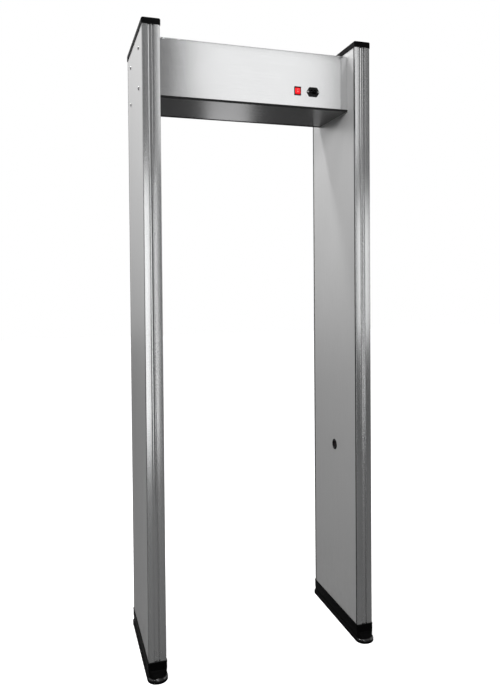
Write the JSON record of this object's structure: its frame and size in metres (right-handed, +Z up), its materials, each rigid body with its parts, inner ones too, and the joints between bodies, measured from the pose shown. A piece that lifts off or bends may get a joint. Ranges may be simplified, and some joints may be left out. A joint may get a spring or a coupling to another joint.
{
  "type": "walk-through detector gate",
  "caption": "Free-standing walk-through security arch: two hollow side panels joined by a header box that holds the electronics, with a mains inlet and a rocker switch.",
  "frame": {"origin": "on the floor at the middle of the footprint", "axes": "+Z up, +X across the passage, -Y towards the side with the mains inlet and the power switch"},
  "size_m": [0.836, 0.453, 2.2],
  "materials": {
    "rail_metal": "satin anodised extrusion",
    "skin_sheet": "fine brushed sheet",
    "header_sheet": "sheet brushed along its length",
    "underside_sheet": "sheet brushed along its length",
    "seal_rubber": "matte black strip",
    "black_moulding": "fine-grained black moulding",
    "boot_moulding": "black moulding with a soft sheen",
    "trim_plastic": "black extruded edging",
    "fixing_steel": "bright plated steel",
    "bracket_metal": "mill finish",
    "board_laminate": "pressed board",
    "batten_plastic": "foamed plastic",
    "coil_winding": "enamelled wire bound in tape",
    "smoked_lens": "dark infrared window",
    "connector_plastic": "black connector shell",
    "switch_black": "black switch moulding",
    "rocker_red": "bright red rocker",
    "inlet_black": "black inlet moulding",
    "contact_brass": "tinned contact metal",
    "circuit_board": "green solder mask",
    "component_black": "black components",
    "bezel_plastic": "dark textured moulding",
    "display_tint": "dark tinted window",
    "display_cells": "display cells",
    "button_plastic": "grey key caps",
    "lamp_plastic": "coloured lamp domes"
  },
  "bodies": {
    "arch": {"left_near_rail": "rail_metal", "left_far_rail": "rail_metal", "right_near_rail": "rail_metal", "right_far_rail": "rail_metal", "left_outer_skin": "skin_sheet", "left_inner_skin": "skin_sheet", "right_outer_skin": "skin_sheet", "right_inner_skin": "skin_sheet", "left_seal_strips": "seal_rubber", "right_seal_strips": "seal_rubber", "left_top_cap": "black_moulding", "right_top_cap": "black_moulding", "left_foot_boot": "boot_moulding", "right_foot_boot": "boot_moulding", "cap_screws": "fixing_steel", "boot_screws": "fixing_steel", "left_coil_board": "board_laminate", "right_coil_board": "board_laminate", "transmit_coil": "coil_winding", "receive_coils": "coil_winding", "left_battens": "batten_plastic", "right_battens": "batten_plastic", "header_bolts": "fixing_steel", "bolt_sleeves": "fixing_steel", "header_nuts": "fixing_steel", "emitter_bezel": "black_moulding", "receiver_bezel": "black_moulding", "emitter_lens": "smoked_lens", "receiver_lens": "smoked_lens", "coil_connectors": "connector_plastic", "left_end_bracket": "bracket_metal", "right_end_bracket": "bracket_metal", "header_near_panel": "header_sheet", "header_far_panel": "header_sheet", "header_underside": "underside_sheet", "header_top_cover": "header_sheet", "top_cover_screws": "fixing_steel", "near_edge_trim": "trim_plastic", "far_edge_trim": "trim_plastic", "switch_housing": "switch_black", "rocker_pin": "fixing_steel", "switch_terminals": "contact_brass", "mains_inlet": "inlet_black", "inlet_pins": "contact_brass", "inlet_screws": "fixing_steel", "inlet_nuts": "fixing_steel", "power_supply": "bracket_metal", "main_board": "circuit_board", "board_standoffs": "contact_brass", "board_components": "component_black", "control_bezel": "bezel_plastic", "display_window": "display_tint", "display_module": "display_cells", "status_lamps": "lamp_plastic", "alarm_sounder": "component_black"},
    "power_rocker": {"power_rocker": "rocker_red"},
    "menu_button": {"menu_button": "button_plastic"},
    "up_button": {"up_button": "button_plastic"},
    "enter_button": {"enter_button": "button_plastic"},
    "down_button": {"down_button": "button_plastic"}
  },
  "joints": [
    {"name": "rocker_tilt", "type": "hinge", "parent": "arch", "child": "power_rocker", "pos_m": [0.156, -0.1315, 2.021], "axis": [1, 0, 0], "range_deg": [0, 18]},
    {"name": "menu_button_press", "type": "slide", "parent": "arch", "child": "menu_button", "axis": [0, -1, 0], "range_m": [0, 0.0015], "stiffness_N_per_m": 400, "springref_m": -0.0005},
    {"name": "up_button_press", "type": "slide", "parent": "arch", "child": "up_button", "axis": [0, -1, 0], "range_m": [0, 0.0015], "stiffness_N_per_m": 400, "springref_m": -0.0005},
    {"name": "enter_button_press", "type": "slide", "parent": "arch", "child": "enter_button", "axis": [0, -1, 0], "range_m": [0, 0.0015], "stiffness_N_per_m": 400, "springref_m": -0.0005},
    {"name": "down_button_press", "type": "slide", "parent": "arch", "child": "down_button", "axis": [0, -1, 0], "range_m": [0, 0.0015], "stiffness_N_per_m": 400, "springref_m": -0.0005}
  ]
}
